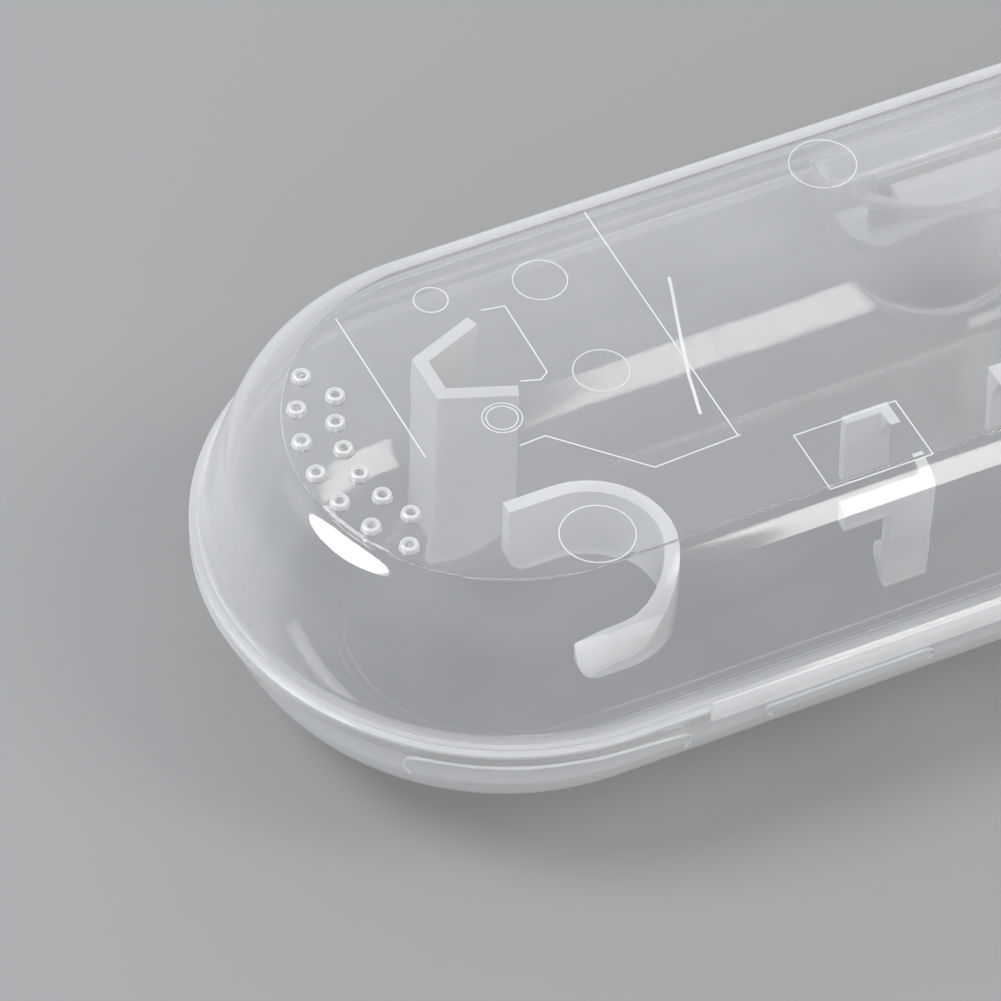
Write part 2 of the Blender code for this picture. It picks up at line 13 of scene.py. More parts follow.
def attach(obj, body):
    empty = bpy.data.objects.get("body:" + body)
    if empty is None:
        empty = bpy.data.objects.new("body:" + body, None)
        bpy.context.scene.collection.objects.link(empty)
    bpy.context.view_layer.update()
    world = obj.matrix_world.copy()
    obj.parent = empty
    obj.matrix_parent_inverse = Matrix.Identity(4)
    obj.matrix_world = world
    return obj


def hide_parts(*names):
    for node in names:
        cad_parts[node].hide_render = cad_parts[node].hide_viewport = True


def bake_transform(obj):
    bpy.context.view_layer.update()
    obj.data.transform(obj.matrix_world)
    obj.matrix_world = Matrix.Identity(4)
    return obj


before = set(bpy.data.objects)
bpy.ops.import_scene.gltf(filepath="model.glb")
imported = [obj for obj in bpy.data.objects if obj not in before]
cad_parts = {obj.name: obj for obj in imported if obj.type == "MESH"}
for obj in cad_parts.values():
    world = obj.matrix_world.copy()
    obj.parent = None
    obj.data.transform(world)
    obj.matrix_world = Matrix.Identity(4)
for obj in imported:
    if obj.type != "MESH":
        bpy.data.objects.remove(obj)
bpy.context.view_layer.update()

# %% [markdown]
# The case's own sizes, in metres, as its solids have them. The shells are equal in height and
# meet at the parting plane; both have straight sides and half-round ends about END_X.

# %% Sizes of the case
HALF_LENGTH = 0.115
HALF_WIDTH = 0.0375
END_X = HALF_LENGTH - HALF_WIDTH
PARTING_Z = 0.019
TOP_Z = 0.038
WALL = 0.0014
RIM_GAP = 0.00015
END_TURNS = 60
STRAIGHT_STEPS = 16
PAST = 0.003

# Corners closer than these are one corner: in general, where a turned section closes, where
# cuts cross, and at the mirror's seam
SAME_POINT = 1e-6
TURNED_SEAM = 3e-6
CUT_SEAM = 2e-6
MIRROR_SEAM = 1e-5
CHAIN_SEAM = 1e-7

# %% [markdown]
# Every step below starts from a clean selection, because an operator acts on all that is
# selected. These small helpers keep the lesson's steps short: they empty the selection, open
# and close a mesh, take a piece's place into its mesh, and apply a modifier at once.

# %% Small helpers
def clear_selection():
    if bpy.context.object and bpy.context.object.mode != "OBJECT":
        bpy.ops.object.mode_set(mode="OBJECT")
    bpy.ops.object.select_all(action="DESELECT")


def pick(piece):
    clear_selection()
    piece.select_set(True)
    bpy.context.view_layer.objects.active = piece


def open_mesh(piece):
    """Opens the piece for editing, with all of its mesh selected."""
    pick(piece)
    bpy.ops.object.mode_set(mode="EDIT")
    bpy.ops.mesh.select_all(action="SELECT")


def close_mesh(merge, outwards=True):
    """Merges the corners that share a place, turns the faces outwards and leaves the mesh."""
    bpy.ops.mesh.select_all(action="SELECT")
    bpy.ops.mesh.remove_doubles(threshold=merge)
    if outwards:
        bpy.ops.mesh.normals_make_consistent(inside=False)
    bpy.ops.object.mode_set(mode="OBJECT")


def settle(piece):
    """Takes the piece's place into its mesh, so that its object sits at the origin."""
    pick(piece)
    bpy.ops.object.transform_apply(location=True, rotation=True, scale=True)
    return piece


def apply_modifier(piece, kind, **settings):
    pick(piece)
    modifier = piece.modifiers.new(kind.title(), kind)
    for name, value in settings.items():
        setattr(modifier, name, value)
    bpy.ops.object.modifier_apply(modifier=modifier.name)
    return piece


def combine(piece, other, operation):
    """Joins to the piece, cuts from it or trims it with another closed body, which is used up."""
    apply_modifier(piece, "BOOLEAN", operation=operation, object=other, solver="EXACT")
    bpy.data.objects.remove(other)
    return piece


def smooth(piece, degrees):
    pick(piece)
    bpy.ops.object.shade_smooth_by_angle(angle=radians(degrees))
    return piece


# %% [markdown]
# A shell is one section swept along a racetrack: straight down both long sides and half round
# each end. The section is drawn as by hand, one extrusion from each corner to the next, then
# spun about the end's centre and pulled along the sides. A mirror makes the other half.

# %% Draw a section and sweep it into a shell
def draw_chain(name, points):
    """A chain of edges from point to point, each one an extrusion of the last corner."""
    clear_selection()
    bpy.ops.mesh.primitive_plane_add(size=WALL, location=points[0])
    piece = bpy.context.object
    piece.name = name
    piece.data.name = name
    bpy.ops.object.mode_set(mode="EDIT")
    bpy.ops.mesh.select_mode(type="VERT")
    bpy.ops.mesh.select_all(action="SELECT")
    bpy.ops.mesh.merge(type="CENTER")
    for before, after in zip(points, points[1:]):
        bpy.ops.mesh.extrude_region_move(
            TRANSFORM_OT_translate={"value": Vector(after) - Vector(before)}
        )
    bpy.ops.object.mode_set(mode="OBJECT")
    return settle(piece)


def sweep_racetrack(name, section):
    """A closed body from a section of (distance from the middle line, height) points."""
    piece = draw_chain(name, [(-END_X, across, z) for across, z in section])
    open_mesh(piece)
    bpy.ops.mesh.spin(steps=END_TURNS, angle=-pi, center=(-END_X, 0, 0), axis=(0, 0, 1))
    bpy.ops.mesh.select_all(action="DESELECT")
    bpy.ops.object.mode_set(mode="OBJECT")
    for edge in piece.data.edges:
        corners = [piece.data.vertices[v].co for v in edge.vertices]
        edge.select = all(abs(corner.x + END_X) < CHAIN_SEAM for corner in corners)
    bpy.ops.object.mode_set(mode="EDIT")
    bpy.ops.mesh.select_mode(type="EDGE")
    for _ in range(STRAIGHT_STEPS):
        bpy.ops.mesh.extrude_region_move(
            TRANSFORM_OT_translate={"value": (END_X / STRAIGHT_STEPS, 0, 0)}
        )
    bpy.ops.object.mode_set(mode="OBJECT")
    apply_modifier(piece, "MIRROR", use_axis=(True, False, False), merge_threshold=MIRROR_SEAM)
    open_mesh(piece)
    bpy.ops.mesh.select_mode(type="VERT")
    close_mesh(SAME_POINT)
    return piece


# %% [markdown]
# Round forms, such as a vent's collar and its bore, are a section turned about a vertical
# line. Several bodies that belong together are gathered into one object.

# %% Turn a section, and gather pieces
def turned(name, section, place, turns=24):
    """A body turned about a vertical line from (radius, height) points, closed at both ends."""
    x, y, z = place
    chain = [(x, y, z + section[0][1])] + [(x + r, y, z + up) for r, up in section]
    chain.append((x, y, z + section[-1][1]))
    piece = draw_chain(name, chain)
    open_mesh(piece)
    bpy.ops.mesh.spin(steps=turns, angle=2 * pi, center=(x, y, z), axis=(0, 0, 1))
    close_mesh(TURNED_SEAM)
    return piece


def gather(name, pieces):
    """Several separate bodies as one object."""
    clear_selection()
    for piece in pieces:
        piece.select_set(True)
    bpy.context.view_layer.objects.active = pieces[0]
    bpy.ops.object.join()
    pieces[0].name = name
    return pieces[0]


# %% [markdown]
# Moulded plastic has no knife edge: each corner of the section gets a small round. The first
# function takes a corner and its two neighbours and gives the points of the arc that replaces
# it. The second makes the hollow round at the foot of a wall.

# %% Round a corner of a section
def rounded(before, corner, after, radius, steps=4):
    corner = Vector(corner)
    to_before = (Vector(before) - corner).normalized()
    to_after = (Vector(after) - corner).normalized()
    half = to_before.angle(to_after) / 2
    centre = corner + (to_before + to_after).normalized() * radius / sin(half)
    start = corner + to_before * radius / tan(half) - centre
    end = corner + to_after * radius / tan(half) - centre
    turn = abs(start.angle_signed(end))
    points = []
    for i in range(steps + 1):
        share = i / steps
        arm = (start * sin((1 - share) * turn) + end * sin(share * turn)) / sin(turn)
        points.append(tuple(centre + arm))
    return points


def flare(start, end, draft, steps=6):
    """A hollow round that leaves the slanting wall at start and runs out to end."""
    start, end = Vector(start), Vector(end)
    outwards = Vector((cos(draft), sin(draft)))
    chord = end - start
    radius = chord.length_squared / (2 * chord.dot(outwards))
    centre = start + outwards * radius
    from_arm, to_arm = start - centre, end - centre
    turn = from_arm.angle(to_arm)
    points = []
    for i in range(1, steps + 1):
        from_share = from_arm * sin(turn * (1 - i / steps))
        to_share = to_arm * sin(turn * i / steps)
        points.append(tuple(centre + (from_share + to_share) / sin(turn)))
    return points


def round_corners(points, radii, steps=4):
    """The same section with the corners named in radii rounded."""
    made = []
    for i, point in enumerate(points):
        if i in radii:
            made += rounded(points[i - 1], point, points[i + 1], radii[i], steps)
        else:
            made.append(point)
    return made


# %% [markdown]
# The shell's wall: from the flat a round leaves at a crease, runs tangent into the slanting
# wall and flares out to the rim's flange. Moving the round and the slant inwards by the wall's
# thickness gives the cavity, so the wall is even all the way, as a moulder makes it.

# %% The wall's line, outside and inside
FLANGE_HEIGHT = 0.0015
FLARE_HEIGHT = 0.0017
FLARE_SHORT_OF_SIDE = 0.00002
FILLET_STEPS = 24


def wall_line(flat_inset, crease, step, draft, flange_out, thickness):
    """Points (distance from the middle line, height over the parting plane), flat to rim."""
    reach = flat_inset - flange_out - (PARTING_Z - step - FLANGE_HEIGHT) * tan(draft)
    spread = cos(draft) + sin(draft) * tan(draft) - sin(crease) - cos(crease) * tan(draft)
    radius = reach / spread
    centre_inset = flat_inset + radius * sin(crease)
    centre_height = PARTING_Z - step - radius * cos(crease)
    inner = radius - thickness
    start = acos(min(1, (PARTING_Z - thickness - centre_height) / inner)) if thickness else crease
    line = []
    for i in range(FILLET_STEPS + 1):
        turn = start + (pi / 2 - draft - start) * i / FILLET_STEPS
        line.append((centre_inset - inner * sin(turn), centre_height + inner * cos(turn)))
    last_inset, last_height = line[-1]
    foot = RIM_GAP / 2 if thickness else FLANGE_HEIGHT + FLARE_HEIGHT
    line.append((last_inset - (last_height - foot) * tan(draft), foot))
    line = [(HALF_WIDTH - inset, height) for inset, height in line]
    if not thickness:
        line += flare(line[-1], (HALF_WIDTH - FLARE_SHORT_OF_SIDE, FLANGE_HEIGHT), draft)
    return line


# %% [markdown]
# The upper shell's section. Its flat stands a third of a millimetre proud of the round, which
# gives the crisp line all round the flat. Three corners get a round: the flat's edge and the
# flange's two corners, in that order.

# %% Upper shell
UPPER = {"flat_inset": 0.0109, "crease": radians(20), "step": 0.0003, "draft": radians(17.4),
         "flange_out": 0.0009}
UPPER_EDGE_SLOPE = 0.00012
UPPER_ROUNDS = (0.00006, 0.00022, 0.0002)
upper_outside = wall_line(**UPPER, thickness=0)
upper_inside = wall_line(**UPPER, thickness=WALL)
flat_edge = (HALF_WIDTH - UPPER["flat_inset"] - UPPER_EDGE_SLOPE, PARTING_Z)
upper_section = [(0, PARTING_Z), flat_edge, *upper_outside,
                 (HALF_WIDTH, RIM_GAP / 2), *reversed(upper_inside), (0, PARTING_Z - WALL)]
rim = len(upper_outside) + 1
upper_section = round_corners(upper_section, dict(zip((1, rim, rim + 1), UPPER_ROUNDS)))
upper_section = [(across, PARTING_Z + up) for across, up in upper_section]
upper_tray = sweep_racetrack("upper_tray", upper_section)
print("upper tray:", len(upper_tray.data.polygons), "faces")

# %% [markdown]
# Lower shell: its wall has a larger round that runs smoothly into the floor. The finger recess
# is pushed in from the latch side, so the outer and inner bodies are swept apart, and the
# inner one is later cut out of the outer one. Inside, a fine step runs round the floor.

# %% Lower shell's two bodies
LOWER = {"flat_inset": 0.0176, "crease": radians(2), "step": 0.0001, "draft": radians(18.2),
         "flange_out": 0.0007}
LOWER_EDGE_SLOPE = 0.00015
LOWER_ROUNDS = (0.00005, 0.0002, 0.0002)
FLOOR_EDGE = HALF_WIDTH - 0.0188
FLOOR_STEP = 0.0002
lower_outside = wall_line(**LOWER, thickness=0)
lower_inside = wall_line(**LOWER, thickness=WALL)
outer_section = [(0, PARTING_Z), (lower_outside[0][0] - LOWER_EDGE_SLOPE, PARTING_Z), *lower_outside,
                 (HALF_WIDTH, RIM_GAP / 2), (0, RIM_GAP / 2)]
rim = len(lower_outside) + 1
outer_section = round_corners(outer_section, dict(zip((1, rim, rim + 1), LOWER_ROUNDS)))
outer_section = [(across, PARTING_Z - down) for across, down in outer_section]
inner_section = [(0, PARTING_Z - WALL + FLOOR_STEP), (FLOOR_EDGE, PARTING_Z - WALL + FLOOR_STEP),
                 (FLOOR_EDGE + FLOOR_STEP, PARTING_Z - WALL), *lower_inside,
                 (lower_inside[-1][0], -PAST), (0, -PAST)]
inner_section = [(across, PARTING_Z - down) for across, down in inner_section]
lower_tray = sweep_racetrack("lower_tray", outer_section)
cavity = sweep_racetrack("cavity", inner_section)
print("lower tray, still solid:", len(lower_tray.data.polygons), "faces")

# %% [markdown]
# The recess is a steep cone. The outer body loses the cone itself, and the cavity loses a wider
# one with a hollow foot, so a wall is left between them that runs out into the floor.

# %% Finger recess
RECESS_RADIUS = 0.0166
RECESS_CENTRE_Y = 0.0404
RECESS_DRAFT = radians(2)
RECESS_FOOT = 0.004
RECESS_SIDES = 160
FOOT_STEPS = 12
FOOT_UNDER_FLOOR = 0.00005
recess_base = -PAST
recess_top = PARTING_Z + PAST
clear_selection()
bpy.ops.mesh.primitive_cone_add(
    vertices=RECESS_SIDES, radius1=RECESS_RADIUS - recess_base * tan(RECESS_DRAFT),
    radius2=RECESS_RADIUS - recess_top * tan(RECESS_DRAFT), depth=recess_top - recess_base,
    location=(0, RECESS_CENTRE_Y, (recess_base + recess_top) / 2))
combine(lower_tray, settle(bpy.context.object), "DIFFERENCE")
foot_z = WALL - FLOOR_STEP - FOOT_UNDER_FLOOR
foot_inside = RECESS_RADIUS + WALL - (foot_z + RECESS_FOOT) * tan(RECESS_DRAFT)
recess_section = [(foot_inside + RECESS_FOOT, recess_base)]
for i in range(FOOT_STEPS + 1):
    turn = pi / 2 * i / FOOT_STEPS
    foot_radius = foot_inside + RECESS_FOOT * (1 - sin(turn))
    recess_section.append((foot_radius, foot_z + RECESS_FOOT * (1 - cos(turn))))
recess_section.append((RECESS_RADIUS + WALL - recess_top * tan(RECESS_DRAFT), recess_top))
recess_wall = turned("recess_wall", recess_section, (0, RECESS_CENTRE_Y, 0), turns=RECESS_SIDES)
combine(cavity, recess_wall, "DIFFERENCE")
print("recess foot:", RECESS_FOOT)

# %% [markdown]
# A short ledge across the mouth of the recess is what the tongue snaps under. Then the cavity
# is cut out of the lower shell.

# %% Catch ledge and cavity
LEDGE_HALF_LENGTH = 0.0088
LEDGE_EDGE_Y = 0.0297
LEDGE_THICKNESS = 0.0013
clear_selection()
ledge_back = RECESS_CENTRE_Y - RECESS_RADIUS - WALL / 2
bpy.ops.mesh.primitive_cube_add(size=1, location=(
    0, (ledge_back + LEDGE_EDGE_Y) / 2, PARTING_Z - RIM_GAP / 2 - LEDGE_THICKNESS / 2))
ledge = bpy.context.object
ledge.scale = (2 * LEDGE_HALF_LENGTH, LEDGE_EDGE_Y - ledge_back, LEDGE_THICKNESS)
combine(lower_tray, settle(ledge), "UNION")
combine(lower_tray, cavity, "DIFFERENCE")
print("lower tray:", len(lower_tray.data.polygons), "faces")

# %% [markdown]
# Thirteen vents stand in two arcs on the flat. Each is a small collar with a rounded lip and a
# bore through the wall, turned in its own place. An arc is a count of vents and a radius.

# %% Vents
VENT_ARCS = ((7, 0.0247), (6, 0.02025))
VENT_PITCH = radians(12.35)
BORE_RADIUS = 0.00058
BORE_TURNS = 22
COLLAR_SECTION = ((0.00135, -0.0006), (0.00128, 0.0), (0.0012, 0.0004), (0.00115, 0.00068),
                  (0.00107, 0.00083), (0.00095, 0.0009), (0.0008, 0.00086), (0.0007, 0.00074))
vent_places = []
for count, radius in VENT_ARCS:
    for i in range(count):
        turn = pi + (i - (count - 1) / 2) * VENT_PITCH
        vent_places.append((-END_X + radius * cos(turn), radius * sin(turn), TOP_Z))
bore_section = ((BORE_RADIUS, -WALL - PAST), (BORE_RADIUS, PAST))
collars = gather("collars", [turned("collar", COLLAR_SECTION, place) for place in vent_places])
bores = gather("bores", [turned("bore", bore_section, place, BORE_TURNS) for place in vent_places])
combine(upper_tray, collars, "UNION")
combine(upper_tray, bores, "DIFFERENCE")
print("vents:", len(vent_places))

# %% [markdown]
# Over the recess the upper shell has a short shelf that carries the latch tongue. It is joined
# to the wall, with rounded front corners.

# %% Latch roof
ROOF_HALF_LENGTH = 0.0175
ROOF_THICKNESS = 0.0015
ROOF_BASE_Z = PARTING_Z + 0.0016
ROOF_CORNER = 0.002
ROOF_EDGE_ROUND = 0.00025
ROOF_MIDDLE_Y = 0.032
TONGUE_FRONT_Y = LEDGE_EDGE_Y + 0.0003
roof_back = HALF_WIDTH - 0.0017
clear_selection()
bpy.ops.mesh.primitive_cube_add(size=1, location=(
    0, (TONGUE_FRONT_Y + roof_back) / 2, ROOF_BASE_Z + ROOF_THICKNESS / 2))
roof = bpy.context.object
roof.scale = (2 * ROOF_HALF_LENGTH, roof_back - TONGUE_FRONT_Y, ROOF_THICKNESS)
settle(roof)
bpy.ops.object.mode_set(mode="EDIT")
bpy.ops.mesh.select_mode(type="EDGE")
bpy.ops.mesh.select_all(action="DESELECT")
bpy.ops.object.mode_set(mode="OBJECT")
for edge in roof.data.edges:
    a, b = (roof.data.vertices[v].co for v in edge.vertices)
    in_front = a.y < ROOF_MIDDLE_Y and b.y < ROOF_MIDDLE_Y
    edge.select = in_front and abs(a.z - b.z) > ROOF_THICKNESS / 2
bpy.ops.object.mode_set(mode="EDIT")
bpy.ops.mesh.bevel(offset=ROOF_CORNER, segments=6, affect="EDGES")
bpy.ops.object.mode_set(mode="OBJECT")
apply_modifier(roof, "BEVEL", width=ROOF_EDGE_ROUND, segments=2, limit_method="ANGLE",
               angle_limit=radians(50))
combine(upper_tray, roof, "UNION")
open_mesh(upper_tray)
close_mesh(CUT_SEAM, outwards=False)
print("upper tray with vents and roof:", len(upper_tray.data.polygons), "faces")

# %% [markdown]
# Holders and tongue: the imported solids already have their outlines. A copy of each is merged,
# its flat faces are cleared of triangles, and its edges get the small round of a moulding.

# %% Holders from the solids
HOLDER_EDGE_ROUND = 0.00018
TONGUE_EDGE_ROUND = 0.0002


def refined(name, node, edge_round, smooth_angle=32):
    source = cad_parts[node]
    piece = bpy.data.objects.new(name, source.data.copy())
    bpy.context.scene.collection.objects.link(piece)
    piece.data.materials.clear()
    open_mesh(piece)
    bpy.ops.mesh.remove_doubles(threshold=SAME_POINT)
    bpy.ops.mesh.dissolve_limited(angle_limit=radians(1))
    bpy.ops.object.mode_set(mode="OBJECT")
    apply_modifier(piece, "BEVEL", width=edge_round, segments=3, limit_method="ANGLE",
                   angle_limit=radians(28))
    return smooth(piece, smooth_angle)


HOLDERS = ("neck_cup", "round_hook", "clip_left_plate", "clip_left_leg", "clip_right_plate",
           "clip_right_leg")
holders = {node: refined("moulded_" + node, node, HOLDER_EDGE_ROUND) for node in HOLDERS}
tongue = refined("moulded_latch_tongue", "latch_tongue", TONGUE_EDGE_ROUND)
print("holders:", len(holders))

# %% [markdown]
# The living hinge is a thin strap folded shut along the near side. Shut, it shows one flat
# face that stands a little proud of both rims and runs back into them at its ends. It is one
# strip that blends between the two shells.

# %% Hinge strap
HINGE_HALF = 0.0685
HINGE_OUT = 0.0003
HINGE_HEIGHT = 0.0016
HINGE_END = 0.0022
HINGE_CORNER = ((0, 1), (0.7, 1), (0.93, 0.96), (1, 0.88))
HINGE_FACE_ROWS = (0.0006, 0.0003, 0)
HINGE_END_OUT = 0.08
END_STEPS = 8
MIDDLE_STEPS = 6
strap_section = [(HINGE_OUT * out, -HINGE_HEIGHT * up) for out, up in HINGE_CORNER]
strap_section += [(HINGE_OUT, -up) for up in HINGE_FACE_ROWS]
strap_section += [(out, -up) for out, up in reversed(strap_section[:-1])]
hinge = draw_chain("hinge_strap", [
    (-HINGE_HALF, -HALF_WIDTH - out, PARTING_Z + up) for out, up in strap_section + strap_section[:1]])
open_mesh(hinge)
bpy.ops.mesh.remove_doubles(threshold=CHAIN_SEAM)
bpy.ops.mesh.edge_face_add()
bpy.ops.mesh.select_all(action="SELECT")
end_steps = [HINGE_END * (1 - cos(pi / 2 * i / END_STEPS)) for i in range(END_STEPS + 1)]
stations = [-HINGE_HALF + step for step in end_steps]
stations += [(HINGE_HALF - HINGE_END) * (i / MIDDLE_STEPS - 1) for i in range(1, 2 * MIDDLE_STEPS)]
stations += [HINGE_HALF - step for step in reversed(end_steps)]
for before, after in zip(stations, stations[1:]):
    bpy.ops.mesh.extrude_region_move(TRANSFORM_OT_translate={"value": (after - before, 0, 0)})
close_mesh(CHAIN_SEAM)
for vertex in hinge.data.vertices:
    from_end = HINGE_HALF - abs(vertex.co.x)
    fullness = sqrt(max(0, 1 - (1 - min(1, from_end / HINGE_END)) ** 2))
    out_share = HINGE_END_OUT + (1 - HINGE_END_OUT) * fullness
    vertex.co.y = -HALF_WIDTH + (vertex.co.y + HALF_WIDTH) * out_share
print("hinge strap:", len(hinge.data.polygons), "faces")
smooth(hinge, 50)

# %% [markdown]
# The flat carries the hairlines of the mould: inserts meet along thin straight lines, and
# ejector pins leave rings. Each is a fine ridge, about a sixth of a millimetre wide and much
# lower. A line is a route of (x, y) points, and a ring is a centre and a radius.

# %% Mould lines and pin rings on the flat
LINE_WIDTH = 0.00016
LINE_HEIGHT = 0.00004
MOULD_LINES = (
    ((-0.0892, 0.0223), (-0.0892, -0.0026)),
    ((-0.0542, 0.0260), (-0.0542, -0.0148)),
    ((-0.0539, -0.0148), (-0.0655, -0.0153), (-0.0750, -0.0054), (-0.0784, -0.0056)),
    ((-0.0729, 0.0164), (-0.0699, 0.0158), (-0.0701, 0.0039), (-0.0714, 0.0030), (-0.0738, 0.0038)),
    ((-0.0484, -0.0174), (-0.0347, -0.0174), (-0.0347, -0.0270), (-0.0484, -0.0270), (-0.0484, -0.0174)),
)
PIN_RINGS = (
    (-0.0776, 0.0204, 0.00207), (-0.0642, 0.0180, 0.0033), (-0.0642, 0.0015, 0.0034),
    (-0.0783, -0.0006, 0.0024), (-0.0783, -0.0006, 0.0019), (-0.0763, -0.0219, 0.0045),
    (-0.0241, 0.0215, 0.00415),
)


def hairline(name, route):
    """A fine ridge along a route on the flat, drawn half its width beside the route."""
    beside = -0.5 * LINE_WIDTH
    row = []
    for i, (x, y) in enumerate(route):
        before = Vector(route[max(0, i - 1)])
        after = Vector(route[min(len(route) - 1, i + 1)])
        along = (after - before).normalized()
        row.append((x - along.y * beside, y + along.x * beside, TOP_Z))
    piece = draw_chain(name, row)
    open_mesh(piece)
    bpy.ops.mesh.extrude_region_move(TRANSFORM_OT_translate={"value": (0, 0, LINE_HEIGHT)})
    bpy.ops.object.mode_set(mode="OBJECT")
    return apply_modifier(piece, "SOLIDIFY", thickness=LINE_WIDTH, offset=0, use_even_offset=True)


def pin_ring(name, x, y, radius):
    """A fine flattened ring on the flat."""
    clear_selection()
    bpy.ops.mesh.primitive_torus_add(location=(x, y, TOP_Z), major_radius=radius,
                                     minor_radius=LINE_WIDTH / 2, major_segments=72, minor_segments=6)
    piece = bpy.context.object
    piece.name = name
    piece.scale.z = 2 * LINE_HEIGHT / LINE_WIDTH
    return settle(piece)


print("mould lines:", len(MOULD_LINES), "pin rings:", len(PIN_RINGS))

# %% [markdown]
# Two raised panels run along the lower wall, a bead runs round the recess's edge, and one soft
# ridge crosses the flat. None is straight, so a chain of points is turned into a curve, given a
# round thickness, and made a mesh again: a thread of plastic that lies half in the wall.

# %% Routes of the panel edges and the flow ridge
PANEL_EDGES = (
    ((-0.1016, -0.0255, 0.0116), (-0.1021, -0.0253, 0.0124), (-0.1026, -0.0254, 0.0137),
     (-0.1025, -0.0263, 0.0155), (-0.1015, -0.0277, 0.0163), (-0.0997, -0.0291, 0.0163),
     (-0.0966, -0.0310, 0.0160), (-0.0935, -0.0327, 0.0160), (-0.0904, -0.0341, 0.0160),
     (-0.0870, -0.0353, 0.0162), (-0.0822, -0.0363, 0.0161), (-0.0771, -0.0364, 0.0157),
     (-0.0727, -0.0361, 0.0149), (-0.0708, -0.0361, 0.0147), (-0.0699, -0.0357, 0.0137),
     (-0.0698, -0.0352, 0.0121), (-0.0700, -0.0348, 0.0108)),
    ((-0.0587, -0.0350, 0.0113), (-0.0598, -0.0354, 0.0127), (-0.0602, -0.0359, 0.0141),
     (-0.0597, -0.0360, 0.0145), (-0.0557, -0.0360, 0.0145), (-0.0490, -0.0360, 0.0146),
     (-0.0423, -0.0361, 0.0147), (-0.0388, -0.0361, 0.0148), (-0.0378, -0.0360, 0.0143),
     (-0.0373, -0.0355, 0.0129), (-0.0375, -0.0351, 0.0117)),
)
FLOW_RIDGE = ((-0.0499, 0.0120), (-0.0508, 0.0092), (-0.0518, 0.0064), (-0.0531, 0.0026),
              (-0.0543, -0.0012), (-0.0552, -0.0038), (-0.0558, -0.0063), (-0.0563, -0.0081),
              (-0.0567, -0.0098))
EDGE_THICKNESS = 0.0005
RIDGE_THICKNESS = 0.0004
RIDGE_FLATNESS = 0.06


def thread(name, route, thickness):
    """A round thread of plastic along a route in space."""
    piece = draw_chain(name, route)
    pick(piece)
    bpy.ops.object.convert(target="CURVE")
    piece.data.bevel_depth = thickness / 2
    piece.data.bevel_resolution = 2
    piece.data.use_fill_caps = True
    bpy.ops.object.convert(target="MESH")
    open_mesh(piece)
    close_mesh(SAME_POINT)
    return piece


def wall_height(line, across):
    """Height over the parting plane of a wall's line, at a distance from the middle line."""
    for (near, low), (far, high) in zip(line, line[1:]):
        if near <= across < far:
            return low + (high - low) * (across - near) / (far - near)
    return line[0][1]


# %% [markdown]
# The bead follows an arc of the recess, in degrees, and keeps to the lower wall's height. It is
# moved a little out of the recess and into the wall.

# %% Panel edges, recess bead and flow ridge
BEAD_START = 206
BEAD_SWEEP = 128
BEAD_STEPS = 48
BEAD_OUT = 0.0001
BEAD_RAISED = 0.0003
recess_edge = []
for i in range(BEAD_STEPS + 1):
    turn = radians(BEAD_START + BEAD_SWEEP * i / BEAD_STEPS)
    x = RECESS_RADIUS * cos(turn)
    y = RECESS_CENTRE_Y + RECESS_RADIUS * sin(turn)
    wall_z = PARTING_Z - wall_height(lower_outside, y)
    recess_edge.append((x, y + BEAD_OUT, wall_z + BEAD_RAISED))
ridge = thread("flow_ridge", [(x, y, TOP_Z) for x, y in FLOW_RIDGE], RIDGE_THICKNESS)
for vertex in ridge.data.vertices:
    vertex.co.z = TOP_Z + (vertex.co.z - TOP_Z) * RIDGE_FLATNESS
edges = [thread("panel_edge", route, EDGE_THICKNESS) for route in PANEL_EDGES]
edges.append(thread("recess_edge", recess_edge, EDGE_THICKNESS))
panel_edges = gather("panel_edges", edges)
marks = [hairline("mould_line", route) for route in MOULD_LINES]
marks += [pin_ring("pin_ring", *ring) for ring in PIN_RINGS]
mould_marks = gather("mould_marks", marks + [ridge])
smooth(mould_marks, 40)
smooth(panel_edges, 60)
print("panel edges:", len(panel_edges.data.polygons), "faces")
smooth(upper_tray, 12)
smooth(lower_tray, 14)

# %% [markdown]
# A path tracer finds hardly any lamplight behind clear walls, and the inside would be dark. So
# rays that look for a lamp, and light bounced from a dull surface, pass straight through with
# a faint tint, while the camera and reflections meet the real wall.

# %% Let lamplight through a clear wall
LAMP_WAY = 0.8


def let_lamps_through(material, colour):
    """The camera sees the shader; lamps and bounced light pass the wall with a faint tint."""
    nodes, links = material.node_tree.nodes, material.node_tree.links
    shader, output = nodes["Principled BSDF"], nodes["Material Output"]
    path = nodes.new("ShaderNodeLightPath")
    lit = nodes.new("ShaderNodeMath")
    lit.operation = "MAXIMUM"
    links.new(path.outputs["Is Shadow Ray"], lit.inputs[0])
    links.new(path.outputs["Is Diffuse Ray"], lit.inputs[1])
    open_way = nodes.new("ShaderNodeBsdfTransparent")
    open_way.inputs["Color"].default_value = (*(LAMP_WAY * part ** 0.25 for part in colour), 1)
    mix = nodes.new("ShaderNodeMixShader")
    links.new(lit.outputs[0], mix.inputs["Fac"])
    links.new(shader.outputs["BSDF"], mix.inputs[1])
    links.new(open_way.outputs["BSDF"], mix.inputs[2])
    links.new(mix.outputs["Shader"], output.inputs["Surface"])


# %% [markdown]
# A material is a small network of nodes. One helper does a sum with numbers or node outputs,
# one rises from nothing to an amount between two values, and one gives a cloudy pattern.

# %% Node helpers
def calculate(material, operation, first, second):
    node = material.node_tree.nodes.new("ShaderNodeMath")
    node.operation = operation
    for socket, value in zip(node.inputs, (first, second)):
        if isinstance(value, (int, float)):
            socket.default_value = value
        else:
            material.node_tree.links.new(value, socket)
    return node.outputs[0]


